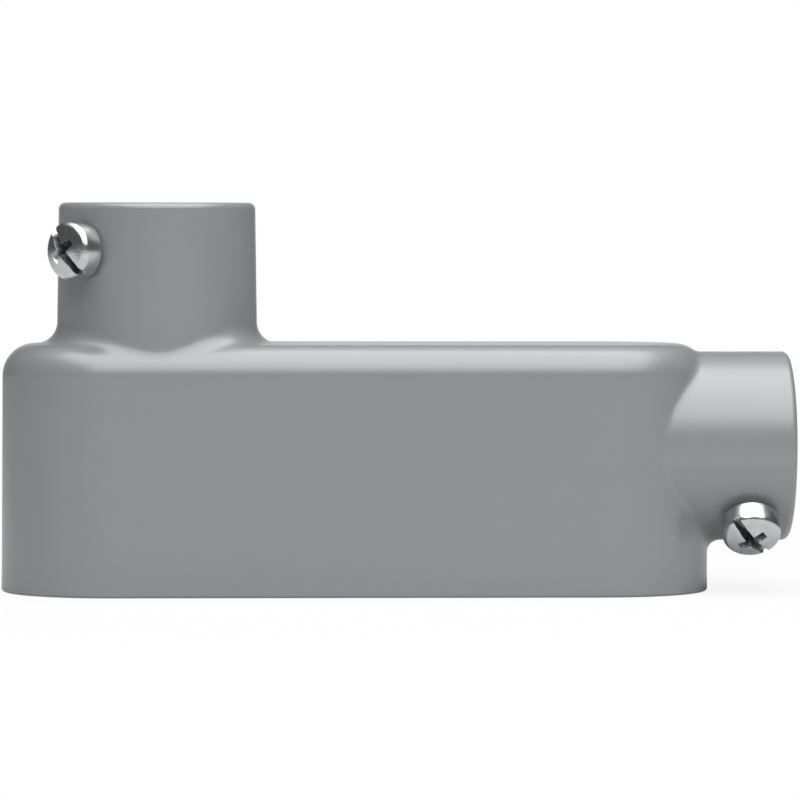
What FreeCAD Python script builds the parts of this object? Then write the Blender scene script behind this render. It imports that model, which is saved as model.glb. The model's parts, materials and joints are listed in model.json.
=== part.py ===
import FreeCAD
import Part
import math
import os

# Conduit body, type LB, for 3/4 inch electrical metallic tubing held by set screws.
#
# A long die-cast housing turns a run of tube through a right angle: one hub leaves its end, the
# other its back.  The open side lies underneath, closed by a cover plate on a gasket that drops
# into a shallow recess inside the rim and is held by two countersunk screws.  Each hub carries
# one combination-head set screw, aimed between the front and the outside of the bend.
#
# Frame: origin on the rim's underside, below the middle of the overall length and on the body's
# mid-plane, +X towards the end hub, +Z towards the back hub.  Sizes are in millimetres and angles
# in degrees.

V = FreeCAD.Vector
X_AXIS = V(1, 0, 0)
Z_AXIS = V(0, 0, 1)

# Housing casting, outside
body_length = 107.9
body_side_step = 1.9
body_height = 37.8
body_draft = 0.3
top_edge_radius = 4.9
rim_edge_radius = 0.45

# Housing casting, inside
wall = 3.2
ceiling = 2.8
cavity_edge_radius = 2.6

# Tube that both hubs take
tube_diameter = 23.42
tube_clearance = 0.38
throat_diameter = 20.8
throat_edge_radius = 1.1
mouth_chamfer = 0.5
hub_rim_radius = 1.0

# Back hub, standing on the housing's back
back_hub_from_end = 23.7
back_hub_reach = 21.4
back_hub_diameter = 29.9
back_hub_draft = 0.8
back_socket_depth = 19.0
back_hub_blend_radius = 3.3

# End hub
end_hub_axis_height = 22.1
end_hub_reach = 12.35
end_hub_diameter = 28.9
end_socket_depth = 15.4
end_stop_length = 2.8
end_sleeve_wall = 3.0
end_hub_blend_radius = 1.9

# Cover, its recess in the rim, and the gasket between them
lip = 1.8
cover_thickness = 1.6
cover_sink = 0.3
cover_edge_clearance = 0.3
cover_edge_chamfer = 0.3
gasket_thickness = 0.8
gasket_edge_clearance = 0.4
gasket_overhang = 1.0
gasket_hole_clearance = 0.5

# Cover screws, number 6, countersunk
cover_screw_from_end = 6.6
cover_screw_radius = 1.75
cover_screw_head_radius = 3.0
cover_screw_cone_angle = 41.0
cover_screw_length = 8.4
cover_screw_sink = 0.12
cover_screw_seat_clearance = 0.1
cover_screw_slot_width = 0.9
cover_screw_slot_depth = 0.7
boss_radius = 4.0
boss_height = 13.0
boss_hole_spare_depth = 0.7

# Set screws, number 10, slot and cross drive
set_screw_radius = 2.41
set_screw_head_radius = 4.4
set_screw_head_side = 2.6
set_screw_head_height = 4.4
set_screw_head_flat_radius = 3.1
set_screw_crown = 0.5
set_screw_tip_chamfer = 0.4
set_screw_slot_width = 1.25
set_screw_slot_depth = 2.0
set_screw_cross_span = 5.0
set_screw_cross_width = 1.4
set_screw_cross_depth = 2.8
set_screw_cross_taper = 0.42
back_set_screw_stand_off = 0.6
back_set_screw_tip_gap = 0.25
back_set_screw_from_rim = 7.25
back_set_screw_angle = 46.0
back_set_screw_turn = 84.0
end_set_screw_stand_off = 0.95
end_set_screw_tip_gap = 0.1
end_set_screw_from_rim = 6.85
end_set_screw_angle = 45.0
end_set_screw_turn = -54.0

# Radial clearance of every screw in the hole that stands for its thread
thread_clearance = 0.06

# Places worked out from the sizes above; the body is wider than its back hub by a step each side
body_width = back_hub_diameter + 2 * body_side_step
overall_length = body_length + end_hub_reach
left_end = -overall_length / 2
right_end = left_end + body_length
body_middle = left_end + body_length / 2
bore_radius = (tube_diameter + tube_clearance) / 2
throat_radius = throat_diameter / 2
ceiling_height = body_height - ceiling
cover_top = cover_sink + cover_thickness
seat_height = cover_top + gasket_thickness
back_hub_x = left_end + back_hub_from_end
back_rim_height = body_height + back_hub_reach
back_stop_height = back_rim_height - back_socket_depth
end_rim_x = right_end + end_hub_reach
end_stop_x = end_rim_x - end_socket_depth
left_screw_x = left_end + cover_screw_from_end
right_screw_x = right_end - cover_screw_from_end
cover_screw_tip = cover_sink + cover_screw_sink + cover_screw_length
back_set_screw_tip = bore_radius + back_set_screw_tip_gap
back_set_screw_seat = back_hub_diameter / 2 + back_set_screw_stand_off
end_set_screw_tip = bore_radius + end_set_screw_tip_gap
end_set_screw_seat = end_hub_diameter / 2 + end_set_screw_stand_off


def taper(height, draft):
    """How far a drafted face leans in over a height."""
    return height * math.tan(math.radians(draft))


def plan_wire(z, inset):
    """The housing's outline in plan, two straight sides and two round ends, moved in by an inset."""
    radius = body_width / 2 - inset
    straight = (body_length - body_width) / 2
    front_left = V(body_middle - straight, -radius, z)
    front_right = V(body_middle + straight, -radius, z)
    back_right = V(body_middle + straight, radius, z)
    back_left = V(body_middle - straight, radius, z)
    edges = [
        Part.makeLine(front_left, front_right),
        Part.Arc(front_right, V(body_middle + straight + radius, 0, z), back_right).toShape(),
        Part.makeLine(back_right, back_left),
        Part.Arc(back_left, V(body_middle - straight - radius, 0, z), front_left).toShape(),
    ]
    return Part.Wire(edges)


def plan_block(z0, z1, inset, draft=0.0):
    """Solid with the housing's plan between two heights, leaning in upwards by the draft."""
    low = plan_wire(z0, inset + taper(z0, draft))
    high = plan_wire(z1, inset + taper(z1, draft))
    return Part.makeLoft([low, high], True, True)


def edges_where(shape, test):
    """Edges of which three points all pass a test."""
    found = []
    for edge in shape.Edges:
        span = edge.LastParameter - edge.FirstParameter
        points = [edge.valueAt(edge.FirstParameter + share * span) for share in (0.1, 0.5, 0.9)]
        if all(test(point) for point in points):
            found.append(edge)
    return found


def near(a, b):
    return abs(a - b) < 0.01


def one_solid(shape):
    """The single solid inside a boolean's result."""
    if len(shape.Solids) != 1:
        raise ValueError("expected one solid, found %d" % len(shape.Solids))
    return shape.Solids[0]


def placed(shape, base, axis, turn=0.0):
    """Copy of a shape modelled along +Z, turned about itself, then aimed along an axis."""
    aim = FreeCAD.Rotation(Z_AXIS, axis)
    moved = shape.copy()
    moved.Placement = FreeCAD.Placement(base, aim.multiply(FreeCAD.Rotation(Z_AXIS, turn)))
    return moved


def lathe(edges):
    """Solid of revolution about the Z axis from edges of a closed profile in the XZ plane."""
    return Part.Face(Part.Wire(edges)).revolve(V(0, 0, 0), Z_AXIS, 360)


def lathe_points(points):
    """Solid of revolution from straight lines between (radius, height) points."""
    corners = [V(radius, 0, height) for radius, height in points]
    return lathe(Part.makePolygon(corners + corners[:1]).Edges)


# Housing

def block_outside():
    """Drafted block with its upper edge rounded and its rim's outer edge eased."""
    block = plan_block(0, body_height, 0, body_draft)
    upper = edges_where(block, lambda point: near(point.z, body_height))
    block = block.makeFillet(top_edge_radius, upper)
    lower = edges_where(block, lambda point: near(point.z, 0))
    return block.makeFillet(rim_edge_radius, lower)


def with_back_hub(block):
    """Back hub as a drafted post, blended into the block all round its foot."""
    foot = body_height - top_edge_radius
    rise = back_rim_height - foot
    rim_radius = back_hub_diameter / 2
    lean = taper(rise, back_hub_draft)
    post = Part.makeCone(rim_radius + lean, rim_radius, rise, V(back_hub_x, 0, foot))
    post = post.makeFillet(hub_rim_radius, edges_where(post, lambda point: near(point.z, back_rim_height)))

    def on_seam(point):
        radius = rim_radius + taper(back_rim_height - point.z, back_hub_draft)
        on_post = near(math.hypot(point.x - back_hub_x, point.y), radius)
        return on_post and foot + 0.01 < point.z < body_height + 0.01

    joined = block.fuse(post)
    return one_solid(joined.makeFillet(back_hub_blend_radius, edges_where(joined, on_seam)))


def with_end_hub(block):
    """End hub as a round post, blended into the block's end."""
    start = right_end - body_width / 2
    radius = end_hub_diameter / 2
    post = Part.makeCylinder(radius, end_rim_x - start, V(start, 0, end_hub_axis_height), X_AXIS)
    post = post.makeFillet(hub_rim_radius, edges_where(post, lambda point: near(point.x, end_rim_x)))

    def on_seam(point):
        on_post = near(math.hypot(point.y, point.z - end_hub_axis_height), radius)
        return on_post and start + 0.01 < point.x < right_end + 0.01

    joined = block.fuse(post)
    return one_solid(joined.makeFillet(end_hub_blend_radius, edges_where(joined, on_seam)))


def cavity():
    """Wiring chamber: the housing's plan moved in by the wall, its upper edge rounded."""
    room = plan_block(seat_height, ceiling_height, wall, body_draft)
    upper = edges_where(room, lambda point: near(point.z, ceiling_height))
    return room.makeFillet(cavity_edge_radius, upper)


def boss(x, top):
    """Pillar for a cover screw, joined to the end wall behind it."""
    pillar = Part.makeCylinder(boss_radius, top - seat_height, V(x, 0, seat_height))
    depth = body_length / 2 - wall / 2 - abs(x - body_middle)
    start = x if x > body_middle else x - depth
    corner = V(start, -boss_radius, seat_height)
    web = Part.makeBox(depth, 2 * boss_radius, top - seat_height, corner)
    return pillar.fuse(web)


def cavity_with_bosses():
    """The chamber less the pillars and the ring that the end hub's stop stands in."""
    axis_point = V(end_stop_x - end_stop_length, 0, end_hub_axis_height)
    ring_radius = throat_radius + end_sleeve_wall
    ring = Part.makeCylinder(ring_radius, end_hub_reach + end_socket_depth, axis_point, X_AXIS)
    solids = [ring, boss(left_screw_x, boss_height), boss(right_screw_x, end_hub_axis_height)]
    return cavity().cut(solids)


def socket_tool(depth, stop_length):
    """Bore, stop and rounded throat of a hub along +Z, the rim at height zero."""
    run = stop_length - throat_edge_radius
    centre = V(throat_radius + throat_edge_radius, 0, -depth - throat_edge_radius)
    quarter = throat_edge_radius * math.sqrt(0.5)
    corners = [
        V(throat_radius, 0, -depth - throat_edge_radius),
        V(throat_radius, 0, -depth - throat_edge_radius - run),
        V(0, 0, -depth - throat_edge_radius - run),
        V(0, 0, 1),
        V(bore_radius + mouth_chamfer + 1, 0, 1),
        V(bore_radius, 0, -mouth_chamfer),
        V(bore_radius, 0, -depth),
        V(throat_radius + throat_edge_radius, 0, -depth),
    ]
    edges = [Part.makeLine(a, b) for a, b in zip(corners[:-1], corners[1:])]
    middle = centre + V(-quarter, 0, quarter)
    edges.append(Part.Arc(corners[-1], middle, corners[0]).toShape())
    return lathe(edges)


def back_socket():
    length = back_stop_height - ceiling_height + cavity_edge_radius
    tool = socket_tool(back_socket_depth, length)
    return placed(tool, V(back_hub_x, 0, back_rim_height), Z_AXIS)


def end_socket():
    tool = socket_tool(end_socket_depth, end_stop_length + body_width / 2)
    return placed(tool, V(end_rim_x, 0, end_hub_axis_height), X_AXIS)


def cover_screw_hole(x):
    """Hole in a pillar for a cover screw, with a drill point."""
    radius = cover_screw_radius + thread_clearance
    top = cover_screw_tip + boss_hole_spare_depth
    points = [(0, 0), (radius, 0), (radius, top - radius / 2), (0, top)]
    return placed(lathe_points(points), V(x, 0, 0), Z_AXIS)


def back_screw_axis():
    angle = math.radians(back_set_screw_angle)
    return V(-math.sin(angle), -math.cos(angle), 0)


def end_screw_axis():
    angle = math.radians(end_set_screw_angle)
    return V(0, -math.cos(angle), -math.sin(angle))


def back_screw_origin():
    return V(back_hub_x, 0, back_rim_height - back_set_screw_from_rim)


def end_screw_origin():
    return V(end_rim_x - end_set_screw_from_rim, 0, end_hub_axis_height)


def set_screw_hole(origin, axis):
    """Hole through one side of a hub for its set screw."""
    reach = max(back_hub_diameter, end_hub_diameter)
    return Part.makeCylinder(set_screw_radius + thread_clearance, reach, origin, axis)


def make_housing():
    solid = with_end_hub(with_back_hub(block_outside()))
    solid = solid.cut(cavity_with_bosses())
    tools = [
        plan_block(-1, seat_height, lip),
        back_socket(),
        end_socket(),
        cover_screw_hole(left_screw_x),
        cover_screw_hole(right_screw_x),
        set_screw_hole(back_screw_origin(), back_screw_axis()),
        set_screw_hole(end_screw_origin(), end_screw_axis()),
    ]
    return one_solid(solid.cut(tools))


# Cover and gasket

def make_cover():
    """Flat plate in the rim's recess, with a countersunk hole at each end."""
    plate = plan_block(cover_sink, cover_top, lip + cover_edge_clearance)
    lower = edges_where(plate, lambda point: near(point.z, cover_sink))
    plate = plate.makeChamfer(cover_edge_chamfer, lower)
    holes = [cover_hole(left_screw_x), cover_hole(right_screw_x)]
    return one_solid(plate.cut(holes))


def cover_hole(x):
    """Countersunk hole, larger than the screw by the seat clearance."""
    radius = cover_screw_radius + cover_screw_seat_clearance
    head = cover_screw_head_radius + cover_screw_seat_clearance
    slope = math.tan(math.radians(cover_screw_cone_angle))
    low = cover_sink + cover_screw_sink
    shoulder = low + (head - radius) / slope
    points = [(0, low - 1), (head, low - 1), (head, low), (radius, shoulder), (radius, cover_top + 1), (0, cover_top + 1)]
    return placed(lathe_points(points), V(x, 0, 0), Z_AXIS)


def make_gasket():
    """Flat ring on the recess's ledge, with an eye round each cover screw."""
    sheet = plan_block(cover_top, seat_height, lip + gasket_edge_clearance)
    window = plan_block(cover_top - 1, seat_height + 1, wall + gasket_overhang)
    eyes = []
    for x in (left_screw_x, right_screw_x):
        eyes.append(Part.makeCylinder(boss_radius, gasket_thickness + 2, V(x, 0, cover_top - 1)))
    sheet = sheet.cut(window.cut(eyes))
    radius = cover_screw_radius + gasket_hole_clearance
    holes = []
    for x in (left_screw_x, right_screw_x):
        holes.append(Part.makeCylinder(radius, gasket_thickness + 2, V(x, 0, cover_top - 1)))
    return one_solid(sheet.cut(holes))


# Screws

def make_cover_screw(x):
    """Countersunk screw pointing up, with a straight slot in its underside."""
    slope = math.tan(math.radians(cover_screw_cone_angle))
    neck = (cover_screw_head_radius - cover_screw_radius) / slope
    tip = cover_screw_length
    points = [
        (0, 0),
        (cover_screw_head_radius, 0),
        (cover_screw_radius, neck),
        (cover_screw_radius, tip - cover_screw_radius / 4),
        (cover_screw_radius * 3 / 4, tip),
        (0, tip),
    ]
    screw = lathe_points(points)
    span = 2 * cover_screw_head_radius + 2
    corner = V(-span / 2, -cover_screw_slot_width / 2, cover_screw_slot_depth - span)
    screw = screw.cut(Part.makeBox(span, cover_screw_slot_width, span, corner))
    return one_solid(placed(screw, V(x, 0, cover_sink + cover_screw_sink), Z_AXIS))


def set_screw_blank(length):
    """Set screw along +Z: shank below height zero, head with a rounded shoulder above."""
    head = set_screw_head_radius
    flat = set_screw_head_flat_radius
    drop = set_screw_head_height - set_screw_head_side
    crown = set_screw_crown
    lower = [
        V(0, 0, -length),
        V(set_screw_radius - set_screw_tip_chamfer, 0, -length),
        V(set_screw_radius, 0, -length + set_screw_tip_chamfer),
        V(set_screw_radius, 0, 0),
        V(head, 0, 0),
        V(head, 0, set_screw_head_side),
    ]
    edges = [Part.makeLine(a, b) for a, b in zip(lower[:-1], lower[1:])]
    shoulder_end = V(flat, 0, set_screw_head_height - crown)
    bend = math.sqrt(0.5)
    middle = V(flat + (head - flat) * bend, 0, set_screw_head_side + (drop - crown) * bend)
    edges.append(Part.Arc(lower[-1], middle, shoulder_end).toShape())
    top = V(0, 0, set_screw_head_height)
    edges.append(Part.Arc(shoulder_end, V(flat / 2, 0, set_screw_head_height - crown / 4), top).toShape())
    edges.append(Part.makeLine(top, lower[0]))
    return lathe(edges)


def tapered_blade(length, width, depth, taper_share):
    """Wedge that narrows downwards from height zero, for one arm of a cross recess."""
    wires = []
    for z, share in ((0.5, 1.0), (0.0, 1.0), (-depth, taper_share)):
        half_x = length * share / 2
        half_y = width * (0.5 + share / 2) / 2
        corners = [V(-half_x, -half_y, z), V(half_x, -half_y, z), V(half_x, half_y, z), V(-half_x, half_y, z)]
        wires.append(Part.makePolygon(corners + corners[:1]))
    return Part.makeLoft(wires, True, True)


def make_set_screw(origin, axis, tip, seat, turn):
    """Set screw whose shank runs from its tip to its head's seat, both measured from the hub's axis."""
    screw = set_screw_blank(seat - tip)
    span = 2 * set_screw_head_radius + 2
    corner = V(-span / 2, -set_screw_slot_width / 2, set_screw_head_height - set_screw_slot_depth)
    slot = Part.makeBox(span, set_screw_slot_width, span, corner)
    blade = tapered_blade(set_screw_cross_span, set_screw_cross_width, set_screw_cross_depth, set_screw_cross_taper)
    top = V(0, 0, set_screw_head_height)
    arms = [placed(blade, top, Z_AXIS), placed(blade, top, Z_AXIS, 90)]
    screw = screw.cut([slot] + arms)
    return one_solid(placed(screw, origin + axis * seat, axis, turn))


def make_back_set_screw():
    origin = back_screw_origin()
    return make_set_screw(origin, back_screw_axis(), back_set_screw_tip, back_set_screw_seat, back_set_screw_turn)


def make_end_set_screw():
    origin = end_screw_origin()
    return make_set_screw(origin, end_screw_axis(), end_set_screw_tip, end_set_screw_seat, end_set_screw_turn)


def main():
    parts = {
        "housing": make_housing(),
        "cover": make_cover(),
        "gasket": make_gasket(),
        "cover_screw_left": make_cover_screw(left_screw_x),
        "cover_screw_right": make_cover_screw(right_screw_x),
        "back_set_screw": make_back_set_screw(),
        "end_set_screw": make_end_set_screw(),
    }
    os.makedirs("parts", exist_ok=True)
    for name, shape in parts.items():
        if not shape.isValid():
            raise ValueError(name + " isn't a valid solid")
        shape.exportStep("parts/" + name + ".step")


main()
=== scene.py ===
import bpy
import bmesh
import json
import math
from mathutils import Matrix, Vector


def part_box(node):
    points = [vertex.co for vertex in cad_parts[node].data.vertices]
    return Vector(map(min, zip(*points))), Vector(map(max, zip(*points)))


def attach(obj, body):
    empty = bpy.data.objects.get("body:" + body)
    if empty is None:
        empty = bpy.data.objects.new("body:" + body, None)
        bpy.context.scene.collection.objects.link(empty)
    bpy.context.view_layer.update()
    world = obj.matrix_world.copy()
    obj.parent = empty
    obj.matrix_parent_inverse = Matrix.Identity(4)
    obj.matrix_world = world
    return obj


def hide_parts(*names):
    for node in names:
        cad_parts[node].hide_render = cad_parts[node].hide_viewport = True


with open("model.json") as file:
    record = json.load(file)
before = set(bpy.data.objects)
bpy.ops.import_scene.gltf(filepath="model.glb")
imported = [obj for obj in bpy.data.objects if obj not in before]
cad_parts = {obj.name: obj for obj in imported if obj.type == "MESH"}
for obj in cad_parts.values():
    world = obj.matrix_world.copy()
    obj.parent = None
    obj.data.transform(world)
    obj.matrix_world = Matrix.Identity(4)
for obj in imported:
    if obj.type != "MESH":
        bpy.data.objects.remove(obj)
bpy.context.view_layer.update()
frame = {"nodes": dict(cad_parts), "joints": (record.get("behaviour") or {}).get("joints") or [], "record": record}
scene = bpy.context.scene
scene.view_settings.view_transform = "Standard"


# Camera: a long lens, about level with the back hub's rim and nearly square to the body's side,
# with the fitting filling the width of the frame.

eye = bpy.data.cameras.new("eye")
eye.sensor_width = 36.0
eye.lens = 232.3
camera = bpy.data.objects.new("eye", eye)
camera.location = (-0.032825, -0.788, 0.0575)
camera.rotation_euler = (1.53480, -0.00140, -0.04242)
scene.collection.objects.link(camera)
scene.camera = camera


# Room: pale paper under the fitting, a white wall behind it and a white ceiling, one large soft
# panel overhead towards the front, and a darker room on the sides where nothing stands.

class Wire:
    """A socket in a shader tree; sums, differences and products of wires add Math nodes."""

    def __init__(self, tree, socket=None):
        self.tree = tree
        self.socket = socket

    def node(self, kind, settings=None, values=None, out=0):
        """Add a node: its settings first, then the numbers, colours or wires of its sockets."""
        made = self.tree.nodes.new(kind)
        for name, value in (settings or {}).items():
            setattr(made, name, value)
        for name, value in (values or {}).items():
            socket = made.inputs[name]
            if isinstance(value, Wire):
                self.tree.links.new(value.socket, socket)
            else:
                socket.default_value = value
        return Wire(self.tree, made.outputs[out] if made.outputs else None)

    def maths(self, operation, a, b=0.0):
        """One Math node on two numbers or wires."""
        return self.node("ShaderNodeMath", {"operation": operation}, {0: a, 1: b})

    def mix(self, share, first, second):
        """Colour between two colours, or two colour wires, by a share from 0 to 1."""
        return self.node("ShaderNodeMix", {"data_type": "RGBA"},
                         {0: share, 6: first, 7: second}, out=2)

    def noise(self, place, scale, detail, rough):
        """Cloudy value from 0 to 1 that varies over a place."""
        values = {"Vector": place, "Scale": scale, "Detail": detail, "Roughness": rough}
        return self.node("ShaderNodeTexNoise", values=values)

    def between(self, low, high):
        """Smooth step of this value from 0 at low to 1 at high."""
        return self.node("ShaderNodeMapRange", {"interpolation_type": "SMOOTHSTEP"},
                         {"Value": self, "From Min": low, "From Max": high})

    def axis(self, number):
        """One coordinate of this vector: 0, 1 or 2."""
        return self.node("ShaderNodeSeparateXYZ", values={0: self}, out=number)

    def length(self):
        """Length of this vector."""
        return self.node("ShaderNodeVectorMath", {"operation": "LENGTH"}, {0: self}, out=1)

    def __add__(self, other):
        return self.maths("ADD", self, other)

    __radd__ = __add__

    def __sub__(self, other):
        return self.maths("SUBTRACT", self, other)

    def __rsub__(self, other):
        return self.maths("SUBTRACT", other, self)

    def __mul__(self, other):
        return self.maths("MULTIPLY", self, other)

    __rmul__ = __mul__


def blank_tree(owner):
    """Empty node tree of a material or world, wrapped for building."""
    owner.use_nodes = True
    owner.node_tree.nodes.clear()
    return Wire(owner.node_tree)


def ray_kinds(tree):
    """Whether a ray comes from the camera or through glass, and whether it is a reflection."""
    rays = tree.node("ShaderNodeLightPath")
    kinds = rays.socket.node.outputs
    direct = Wire(tree.tree, kinds["Is Camera Ray"])
    through = Wire(tree.tree, kinds["Is Transmission Ray"])
    return tree.maths("MAXIMUM", direct, through), Wire(tree.tree, kinds["Is Glossy Ray"])


white = (1, 1, 1, 1)
black = (0, 0, 0, 1)
ambient_level = 0.17
dark_room_level = 0.11
wall_fade = (0.92, 0.99)
ceiling_fade = (0.5, 1.0)
surround = bpy.data.worlds.new("surround")
scene.world = surround
sky = blank_tree(surround)
seen, glossy = ray_kinds(sky)
heading = sky.node("ShaderNodeTexCoord", out=0)
behind = heading.axis(1).between(*wall_fade)
above = heading.axis(2).between(*ceiling_fade)
bright = sky.maths("MAXIMUM", behind, above)
room_level = dark_room_level + (1.0 - dark_room_level) * bright
room_grey = sky.mix(room_level, black, white)
ambient = sky.node("ShaderNodeBackground", values={"Color": white, "Strength": ambient_level})
mirrored = sky.node("ShaderNodeBackground", values={"Color": room_grey, "Strength": 1.0})
backdrop = sky.node("ShaderNodeBackground", values={"Color": white, "Strength": 1.0})
unseen = sky.node("ShaderNodeMixShader", values={0: glossy, 1: ambient, 2: mirrored})
whole = sky.node("ShaderNodeMixShader", values={0: seen, 1: unseen, 2: backdrop})
sky.node("ShaderNodeOutputWorld", values={"Surface": whole})

ground_radius = 3.0
ground_drop = 0.00005
ground_sides = 96
paper_grey = (0.66, 0.66, 0.66, 1)
paper_shade = 0.12
paper_fade = (0.07, 0.22)
turns = [2 * math.pi * step / ground_sides for step in range(ground_sides)]
rim = [(ground_radius * math.cos(turn), ground_radius * math.sin(turn), 0) for turn in turns]
ground_mesh = bpy.data.meshes.new("ground")
ground_mesh.from_pydata(rim, [], [tuple(range(ground_sides))])
ground = bpy.data.objects.new("ground", ground_mesh)
ground.location = (0, 0, -ground_drop)
scene.collection.objects.link(ground)
paper = bpy.data.materials.new("white paper")
sheet = blank_tree(paper)
seen, glossy = ray_kinds(sheet)
from_middle = sheet.node("ShaderNodeTexCoord", out=3).length()
bleached = (1 - paper_shade) + paper_shade * from_middle.between(*paper_fade)
matt = sheet.node("ShaderNodeBsdfDiffuse", values={"Color": paper_grey})
blank = sheet.node("ShaderNodeEmission", values={"Color": white, "Strength": 1.0})
surface = sheet.node("ShaderNodeMixShader", values={0: seen * bleached, 1: matt, 2: blank})
sheet.node("ShaderNodeOutputMaterial", values={"Surface": surface})
ground_mesh.materials.append(paper)

panel_target = Vector((0.0, 0.0, 0.03))
panel_side_shift = 0.08
panel_tilt = math.radians(69)
panel_reach = 0.9
panel_width = 1.36
panel_depth = 1.57
panel_watts = 20.3
lamp = bpy.data.lights.new("overhead", "AREA")
lamp.shape = "RECTANGLE"
lamp.size = panel_width
lamp.size_y = panel_depth
lamp.energy = panel_watts
panel = bpy.data.objects.new("overhead", lamp)
panel.location = (panel_side_shift, -panel_reach * math.cos(panel_tilt),
                  panel_target.z + panel_reach * math.sin(panel_tilt))
panel.rotation_euler = (panel_target - panel.location).to_track_quat("-Z", "Y").to_euler()
scene.collection.objects.link(panel)


# Housing: one aluminium die casting with two hubs, powder coated grey inside and out.  The coat is
# a little glossy, with the slow waves of the casting and a fine orange peel.

coat_grey = (0.227, 0.231, 0.240)
coat_variation = 0.04
coat_roughness = 0.27
coat_roughness_spread = 0.08
coat_specular = 0.92
coat_wave = 2.8
coat_grain = 0.3
casting_peel = 0.000012


def powder_coat(name, colour, peel):
    """Powder coat: mottled colour, and slow waves and fine grain in heights of one peel."""
    paint = bpy.data.materials.new(name)
    brush = blank_tree(paint)
    place = brush.node("ShaderNodeTexCoord", out=3)
    wave = brush.noise(place, scale=60.0, detail=3.0, rough=0.5)
    mottle = brush.noise(place, scale=420.0, detail=4.0, rough=0.6)
    grain = brush.noise(place, scale=1500.0, detail=2.0, rough=0.5)
    darker = tuple(channel * (1 - coat_variation) for channel in colour) + (1.0,)
    lighter = tuple(channel * (1 + coat_variation) for channel in colour) + (1.0,)
    tint = brush.mix(0.5 * wave + 0.5 * mottle, darker, lighter)
    height = coat_wave * wave + coat_grain * grain
    bump = brush.node("ShaderNodeBump", values={
        "Strength": 1.0, "Distance": peel, "Height": height})
    skin = brush.node("ShaderNodeBsdfPrincipled", values={
        "Base Color": tint,
        "Roughness": coat_roughness + coat_roughness_spread * mottle,
        "Specular IOR Level": coat_specular,
        "Normal": bump,
    })
    brush.node("ShaderNodeOutputMaterial", values={"Surface": skin})
    return paint


def dress(node, material):
    """Give every material slot of a CAD node one material."""
    for slot in bpy.data.objects[node].material_slots:
        slot.material = material


dress("housing", powder_coat("grey powder coat", coat_grey, casting_peel))


# Cover: flat aluminium plate in the recess of the rim, with a countersunk hole for each of its two
# screws.  It has the same grey coat as the casting, on a smoother sheet.

plate_peel = 0.000008
dress("cover", powder_coat("grey coat on plate", coat_grey, plate_peel))


# Set screws: number 10 steel screws with a rolled thread and a thick round head, slotted and
# crossed, bright zinc plated.  Each leans out of its hub towards the front.

zinc_dark = (0.45, 0.46, 0.47, 1)
zinc_light = (0.66, 0.675, 0.69, 1)
# Near-black colour of the painted shade deep in the driver's recess.
zinc_recess_shade = (0.10, 0.10, 0.105, 1)
zinc_peel = 0.00008
zinc_pits = 0.4
zinc_roughness = 0.16
zinc_cloud_roughness = 0.12
recess_roughness = 0.2
# How far the recess colour goes towards the painted shade.
recess_shade_strength = 0.75
recess_fade = 0.0006
underside_fade = 0.0001
recess_rim = (0.78, 0.92)


def zinc_plate(name, face_height, head_radius):
    """Bright zinc plate on steel: cloudy polish, painted shade deep in the driver's recess, and more roughness
    there.
    """
    plate = bpy.data.materials.new(name)
    bath = blank_tree(plate)
    place = bath.node("ShaderNodeTexCoord", out=3)
    cloud = bath.noise(place, scale=600.0, detail=3.0, rough=0.55)
    pits = bath.noise(place, scale=4200.0, detail=2.0, rough=0.5)
    plated = bath.mix(cloud, zinc_dark, zinc_light)
    flat = bath.node("ShaderNodeVectorMath", {"operation": "MULTIPLY"}, {0: place, 1: (1, 1, 0)})
    height = place.axis(2)
    in_head = height.between(0.0, underside_fade)
    sunk = in_head * (1 - height.between(face_height - recess_fade, face_height))
    rim_from, rim_to = (head_radius * share for share in recess_rim)
    recess_shade_mask = sunk * (1 - flat.length().between(rim_from, rim_to))
    # Painted shade: deep in the recess the plate's colour is darkened towards near black. The roughness also rises
    # there.
    colour = bath.mix(recess_shade_strength * recess_shade_mask, plated, zinc_recess_shade)
    bump = bath.node("ShaderNodeBump", values={
        "Strength": 0.5, "Distance": zinc_peel, "Height": cloud + zinc_pits * pits})
    skin = bath.node("ShaderNodeBsdfPrincipled", values={
        "Base Color": colour,
        "Metallic": 1.0,
        "Roughness": (zinc_roughness + zinc_cloud_roughness * cloud
                      + recess_roughness * recess_shade_mask),
        "Normal": bump,
    })
    bath.node("ShaderNodeOutputMaterial", values={"Surface": skin})
    return plate


def closed_mesh(name, rings):
    """Mesh with faces between rings of equal count and a flat face over each end."""
    form = bmesh.new()
    rows = [[form.verts.new(point) for point in ring] for ring in rings]
    for low, high in zip(rows[:-1], rows[1:]):
        for i in range(len(low)):
            j = (i + 1) % len(low)
            form.faces.new((low[i], low[j], high[j], high[i]))
    form.faces.new(rows[0][::-1])
    form.faces.new(rows[-1])
    mesh = bpy.data.meshes.new(name)
    form.to_mesh(mesh)
    form.free()
    return mesh


def round_ring(radii, height):
    """Ring round the Z axis with a radius for each step."""
    turn = 2 * math.pi / len(radii)
    return [(r * math.cos(i * turn), r * math.sin(i * turn), height) for i, r in enumerate(radii)]


def box_ring(half_length, half_width, height):
    """Rectangle round the Z axis."""
    corners = [(-1, -1), (1, -1), (1, 1), (-1, 1)]
    return [(x * half_length, y * half_width, height) for x, y in corners]


def thread_radii(height, pitch, crest, root, steps):
    """Radii round a thread at one height: one helical ridge with a flat crest and a flat root."""
    flat = 0.14
    radii = []
    for step in range(steps):
        phase = (height / pitch - step / steps) % 1.0
        depth = min(1.0, max(0.0, (abs(phase - 0.5) * 2 - flat) / (1 - 2 * flat)))
        radii.append(root + (crest - root) * (1 - depth))
    return radii


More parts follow.
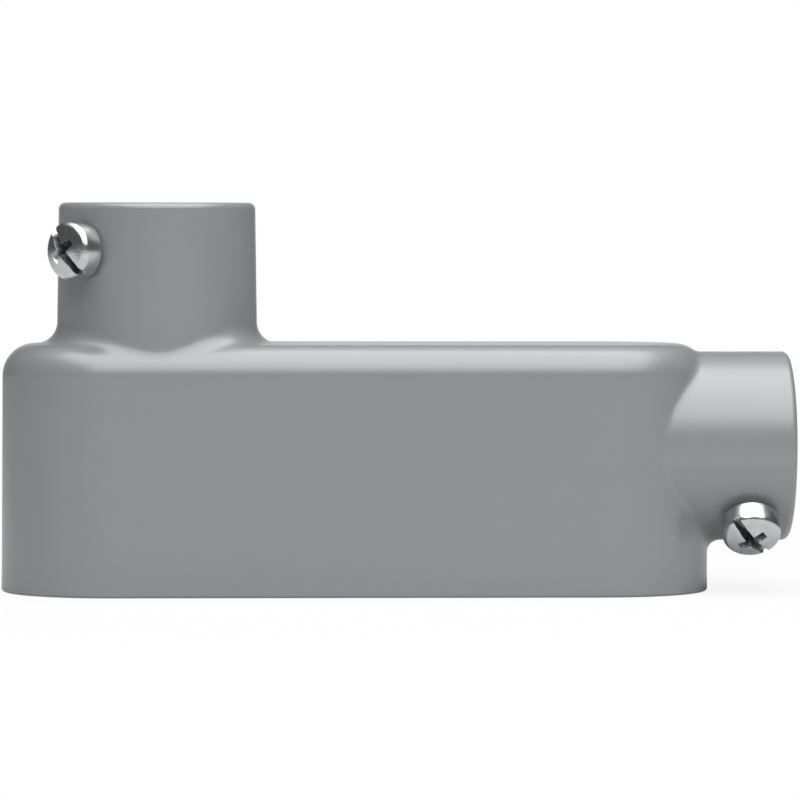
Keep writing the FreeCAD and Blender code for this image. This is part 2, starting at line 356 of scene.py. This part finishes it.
def threaded_blank(name, length, pitch, crest, root, chamfer, head_outline):
    """Screw along +Z: threaded shank from -length to zero, and a turned head above."""
    steps = 72
    rows_in_turn = 8
    rows = int(length / pitch * rows_in_turn)
    tip_drop = 0.00012
    rings = []
    for row in range(rows):
        height = -length + length * row / rows
        limit = root - tip_drop + (height + length) * (crest - root) / chamfer
        radii = thread_radii(height, pitch, crest, root, steps)
        rings.append(round_ring([min(r, limit) for r in radii], height))
    rings.append(round_ring([root] * steps, 0.0))
    rings += [round_ring([radius] * steps, height) for radius, height in head_outline]
    return closed_mesh(name, rings)


def cut(mesh, tools):
    """Take each tool mesh out of a mesh, and give the result."""
    piece = bpy.data.objects.new("cutting", mesh)
    scene.collection.objects.link(piece)
    for tool in tools:
        blade = bpy.data.objects.new("tool", tool)
        scene.collection.objects.link(blade)
        step = piece.modifiers.new("cut", "BOOLEAN")
        step.operation = "DIFFERENCE"
        step.solver = "EXACT"
        step.object = blade
        bpy.context.view_layer.update()
        shaped = piece.evaluated_get(bpy.context.evaluated_depsgraph_get())
        done = bpy.data.meshes.new_from_object(shaped)
        piece.modifiers.clear()
        piece.data = done
        bpy.data.objects.remove(blade)
    result = piece.data
    bpy.data.objects.remove(piece)
    return result


def ease_edges(mesh, above, width):
    """Round the sharp edges of a mesh over a height, as tumbling and plating do."""
    same_place = 0.000002
    nearly_flat = math.radians(0.5)
    crisp = math.radians(35)
    form = bmesh.new()
    form.from_mesh(mesh)
    bmesh.ops.remove_doubles(form, verts=form.verts, dist=same_place)
    bmesh.ops.dissolve_limit(form, angle_limit=nearly_flat, verts=form.verts, edges=form.edges)
    sharp = [edge for edge in form.edges
             if len(edge.link_faces) == 2 and edge.calc_face_angle() > crisp
             and min(end.co.z for end in edge.verts) > above]
    bmesh.ops.bevel(form, geom=sharp, offset=width, offset_type="OFFSET", segments=2, profile=0.6,
                    affect="EDGES", clamp_overlap=True)
    form.to_mesh(mesh)
    form.free()


def smooth(mesh, degrees):
    """Smooth shading, kept crisp over edges sharper than an angle."""
    mesh.shade_smooth()
    mesh.set_sharp_from_angle(angle=math.radians(degrees))


def fit_piece(name, mesh, material, place, body, node):
    """Object for a modelled piece, put in its place, that rides on a body for its CAD node."""
    mesh.materials.clear()
    mesh.materials.append(material)
    piece = bpy.data.objects.new(name, mesh)
    scene.collection.objects.link(piece)
    piece.matrix_world = place
    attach(piece, body)
    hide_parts(node)


def node_box(node):
    """Lowest and highest corner of a CAD node, to the nearest micrometre."""
    return [[round(value, 6) for value in corner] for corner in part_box(node)]


def middle(node):
    """Middle of a CAD node's box, to the nearest micrometre."""
    return Vector([round((low + high) / 2, 6) for low, high in zip(*node_box(node))])


def travel_axis(body):
    """Direction in which a body's joint moves it."""
    return Vector(next(joint["axis"] for joint in frame["joints"] if joint["child"] == body))


def hub_point(hub, node):
    """Point on a hub's axis that is level with a node's middle."""
    bore = next(mount for mount in frame["record"]["mounts"] if mount["name"] == hub)
    start, along = Vector(bore["pos_m"]), Vector(bore["axis"])
    return start + along * (middle(node) - start).dot(along)


def near_end(node, point, axis):
    """How far from a point along an axis a CAD node begins, to the nearest micrometre."""
    vertices = frame["nodes"][node].data.vertices
    return round(min((vertex.co - point).dot(axis) for vertex in vertices), 6)


set_head_radius = 0.0044
set_head_side = 0.0026
set_head_height = 0.0044
set_head_flat = 0.0031
set_head_dome = 0.0007
set_head_lift = 0.00006
set_head_ease = 0.0002
set_head_steps = 8
set_dome_shares = (0.75, 0.5, 0.25, 0.08)
set_face_height = 0.0036
set_slot_half = 0.00125 / 2
set_slot_depth = 0.0020
set_slot_floor = 0.82
set_slot_mouth = 1.15
slot_half_length = 0.006
clear_of_head = 0.001
set_cross_length = 0.0050
set_cross_width = 0.0014
set_cross_depth = 0.0028
set_cross_taper = 0.42
set_cross_clear = 0.0006
set_shank_length = 0.0034
set_thread_pitch = 0.001058
set_thread_crest = 0.00241
set_thread_root = 0.00187
set_tip_chamfer = 0.0004
set_edge_above = 0.0005
set_edge_width = 0.00011
screw_crease = 32
back_slot_turn = 84.0
end_slot_turn = -54.0
set_screw_zinc = zinc_plate("bright zinc plate", set_face_height, set_head_radius)


def set_head_outline():
    """Turned head: eased lower edge, straight side, round shoulder and slightly domed top."""
    points = [(set_head_radius - set_head_ease, set_head_lift),
              (set_head_radius, set_head_lift + set_head_ease),
              (set_head_radius, set_head_side)]
    crown = set_head_height - set_head_dome
    for step in range(1, set_head_steps + 1):
        angle = math.pi / 2 * step / set_head_steps
        points.append((set_head_flat + (set_head_radius - set_head_flat) * math.cos(angle),
                       set_head_side + (crown - set_head_side) * math.sin(angle)))
    for share in set_dome_shares:
        points.append((set_head_flat * share, crown + set_head_dome * (1 - share * share)))
    return points


def cross_arm(turn):
    """Tapered blade for one arm of the cross recess, from above the top down to its depth."""
    rings = []
    for height, part in ((-set_cross_depth, set_cross_taper), (0.0, 1.0), (set_cross_clear, 1.0)):
        half_length = set_cross_length * part / 2
        half_width = set_cross_width * (0.5 + part / 2) / 2
        rings.append(box_ring(half_length, half_width, set_head_height + height))
    arm = closed_mesh("arm", rings)
    arm.transform(Matrix.Rotation(turn, 4, "Z"))
    return arm


def set_screw(name, node, body, hub, turn):
    """One set screw where its CAD node is, its slot turned by an angle in degrees."""
    axis = travel_axis(body)
    origin = hub_point(hub, node)
    seat = near_end(node, origin, axis) + set_shank_length
    mesh = threaded_blank(name, set_shank_length, set_thread_pitch, set_thread_crest,
                          set_thread_root, set_tip_chamfer, set_head_outline())
    slot = closed_mesh("slot", [
        box_ring(slot_half_length, set_slot_half * set_slot_floor,
                 set_head_height - set_slot_depth),
        box_ring(slot_half_length, set_slot_half * set_slot_mouth,
                 set_head_height + clear_of_head)])
    # A hair off square, so that no edge of the cross runs exactly along the slot.
    off_square = 0.0001
    mesh = cut(mesh, [slot, cross_arm(off_square), cross_arm(math.pi / 2 + off_square)])
    ease_edges(mesh, set_edge_above, set_edge_width)
    smooth(mesh, screw_crease)
    aim = Vector((0, 0, 1)).rotation_difference(axis).to_matrix().to_4x4()
    spin = Matrix.Rotation(math.radians(turn), 4, "Z")
    place = Matrix.Translation(origin + axis * seat) @ aim @ spin
    fit_piece(name, mesh, set_screw_zinc, place, body, node)


set_screw("back_set_screw_turned", "back_set_screw", "back_screw", "back_hub", back_slot_turn)
set_screw("end_set_screw_turned", "end_set_screw", "end_screw", "end_hub", end_slot_turn)


# Cover screws: number 6 countersunk steel screws, slotted and bright zinc plated, that hold the
# cover up against the pillars at the two ends of the body.

cover_shank_radius = 0.00175
cover_head_radius = 0.0030
cover_cone = math.radians(41.0)
cover_head_rise = (cover_head_radius - cover_shank_radius) / math.tan(cover_cone)
cover_head_ease = 0.00008
cover_top_shares = (0.75, 0.5, 0.25)
cover_slot_half = 0.00045
cover_slot_depth = 0.0007
cover_slot_half_length = 0.005
cover_face_height = 0.0013
cover_recess_reach = 0.0034
cover_thread_pitch = 0.000794
cover_thread_root = 0.00131
cover_tip_chamfer = 0.0005
cover_edge_above = 0.0006
cover_edge_width = 0.00006
cover_screw_zinc = zinc_plate("bright zinc on cover screws", cover_face_height,
                              cover_recess_reach)


def cover_screw(name, node, body):
    """One cover screw where its CAD node is, head down in the cover."""
    low, high = node_box(node)
    length = round(high[2] - low[2], 6)
    outline = [(cover_shank_radius, 0.0),
               (cover_head_radius - cover_head_ease, cover_head_rise - 1.2 * cover_head_ease),
               (cover_head_radius, cover_head_rise - cover_head_ease),
               (cover_head_radius - cover_head_ease, cover_head_rise)]
    outline += [(cover_head_radius * share, cover_head_rise) for share in cover_top_shares]
    mesh = threaded_blank(name, length - cover_head_rise, cover_thread_pitch,
                          cover_shank_radius, cover_thread_root, cover_tip_chamfer, outline)
    slot = closed_mesh("slot", [
        box_ring(cover_slot_half_length, cover_slot_half, cover_head_rise - cover_slot_depth),
        box_ring(cover_slot_half_length, cover_slot_half, cover_head_rise + clear_of_head)])
    mesh = cut(mesh, [slot])
    ease_edges(mesh, cover_edge_above, cover_edge_width)
    smooth(mesh, screw_crease)
    seat = Matrix.Translation((middle(node).x, 0.0, low[2] + cover_head_rise))
    place = seat @ Matrix.Rotation(math.pi, 4, "X")
    fit_piece(name, mesh, cover_screw_zinc, place, body, node)


cover_screw("cover_screw_left_turned", "cover_screw_left", "left_cover_screw")
cover_screw("cover_screw_right_turned", "cover_screw_right", "right_cover_screw")


# Gasket: a die-cut ring of soft black rubber on the cover, with an eye for each cover screw.  The
# cover squeezes it against the ledge of the rim, so its edges bulge.

cover_low, cover_high = node_box("cover")
body_middle = round((cover_low[0] + cover_high[0]) / 2, 6)
body_straight = round((cover_high[0] - cover_low[0]) / 2 - cover_high[1], 6)
left_screw_x = round(middle("cover_screw_left").x, 6)
right_screw_x = round(middle("cover_screw_right").x, 6)
gasket_low, gasket_high = node_box("gasket")
gasket_outer_radius = gasket_high[1]
gasket_bottom = gasket_low[2]
gasket_thickness = round(gasket_high[2] - gasket_bottom, 6)
gasket_window_radius = 0.01265
gasket_eye_radius = 0.0040
gasket_hole_radius = 0.00225
gasket_edge = 0.00022
gasket_corner = math.radians(60)
gasket_crease = 40
outer_end_steps = 40
hole_steps = 40
window_end_steps = 16
eye_steps = 32
rubber_dark = (0.016, 0.016, 0.017, 1)
rubber_light = (0.032, 0.032, 0.034, 1)
rubber_grit = 0.00003
rubber_roughness = 0.55
rubber_bloom_roughness = 0.2


def arc(x, radius, start, stop, steps, side=1):
    """Points round (x, 0), mirrored in X where side is -1 and turned half round with it."""
    points = []
    for step in range(steps + 1):
        angle = start + (stop - start) * step / steps
        points.append((x + side * radius * math.cos(angle), side * radius * math.sin(angle)))
    return points


def outer_outline():
    """Two straight sides and two round ends."""
    quarter = math.pi / 2
    points = []
    for side in (1, -1):
        points += arc(body_middle + side * body_straight, gasket_outer_radius, -quarter, quarter,
                      outer_end_steps, side)
    return points


def window_outline():
    """Two straight sides and two round ends, and each end gives way to a round eye for a screw."""
    quarter = math.pi / 2
    reach = body_middle - body_straight - left_screw_x
    meet = (gasket_window_radius ** 2 - gasket_eye_radius ** 2 + reach ** 2) / (2 * reach)
    width = math.sqrt(gasket_window_radius ** 2 - meet ** 2)
    on_end = math.atan2(width, meet)
    on_eye = math.atan2(width, meet - reach)
    points = []
    for side in (1, -1):
        end = body_middle + side * body_straight
        eye = arc(end + side * reach, gasket_eye_radius, -on_eye, on_eye - 2 * math.pi,
                  eye_steps, side)
        points += arc(end, gasket_window_radius, -quarter, -on_end, window_end_steps, side)
        points += eye[1:-1]
        points += arc(end, gasket_window_radius, on_end, quarter, window_end_steps, side)
    return points


def screw_hole(x):
    """Round hole for a cover screw."""
    return arc(x, gasket_hole_radius, 0, 2 * math.pi, hole_steps)[:-1]


def ring_mesh(name):
    """The ring: filled flat between its outlines, thickened, its edges rounded."""
    form = bmesh.new()
    edges = []
    for outline in (outer_outline(), window_outline(),
                    screw_hole(left_screw_x), screw_hole(right_screw_x)):
        ring = [form.verts.new((x, y, gasket_bottom)) for x, y in outline]
        edges += [form.edges.new(ends) for ends in zip(ring, ring[1:] + ring[:1])]
    bmesh.ops.triangle_fill(form, use_beauty=True, use_dissolve=False, edges=edges)
    lifted = bmesh.ops.extrude_face_region(form, geom=form.faces[:])
    upper = [part for part in lifted["geom"] if isinstance(part, bmesh.types.BMVert)]
    bmesh.ops.translate(form, vec=(0, 0, gasket_thickness), verts=upper)
    bmesh.ops.recalc_face_normals(form, faces=form.faces)
    corners = [edge for edge in form.edges
               if len(edge.link_faces) == 2 and edge.calc_face_angle() > gasket_corner]
    bmesh.ops.bevel(form, geom=corners, offset=gasket_edge, segments=3, profile=0.5,
                    affect="EDGES", clamp_overlap=True)
    mesh = bpy.data.meshes.new(name)
    form.to_mesh(mesh)
    form.free()
    smooth(mesh, gasket_crease)
    return mesh


def black_rubber(name):
    """Matt black rubber with a fine grit and a faint bloom."""
    rubber = bpy.data.materials.new(name)
    pad = blank_tree(rubber)
    place = pad.node("ShaderNodeTexCoord", out=3)
    grit = pad.noise(place, scale=2500.0, detail=3.0, rough=0.6)
    bloom = pad.noise(place, scale=160.0, detail=2.0, rough=0.5)
    tint = pad.mix(bloom, rubber_dark, rubber_light)
    bump = pad.node("ShaderNodeBump", values={
        "Strength": 0.6, "Distance": rubber_grit, "Height": grit})
    skin = pad.node("ShaderNodeBsdfPrincipled", values={
        "Base Color": tint,
        "Roughness": rubber_roughness + rubber_bloom_roughness * bloom,
        "Normal": bump,
    })
    pad.node("ShaderNodeOutputMaterial", values={"Surface": skin})
    return rubber


fit_piece("gasket_ring", ring_mesh("gasket_ring"), black_rubber("black rubber"),
          Matrix.Identity(4), "cover_plate", "gasket")
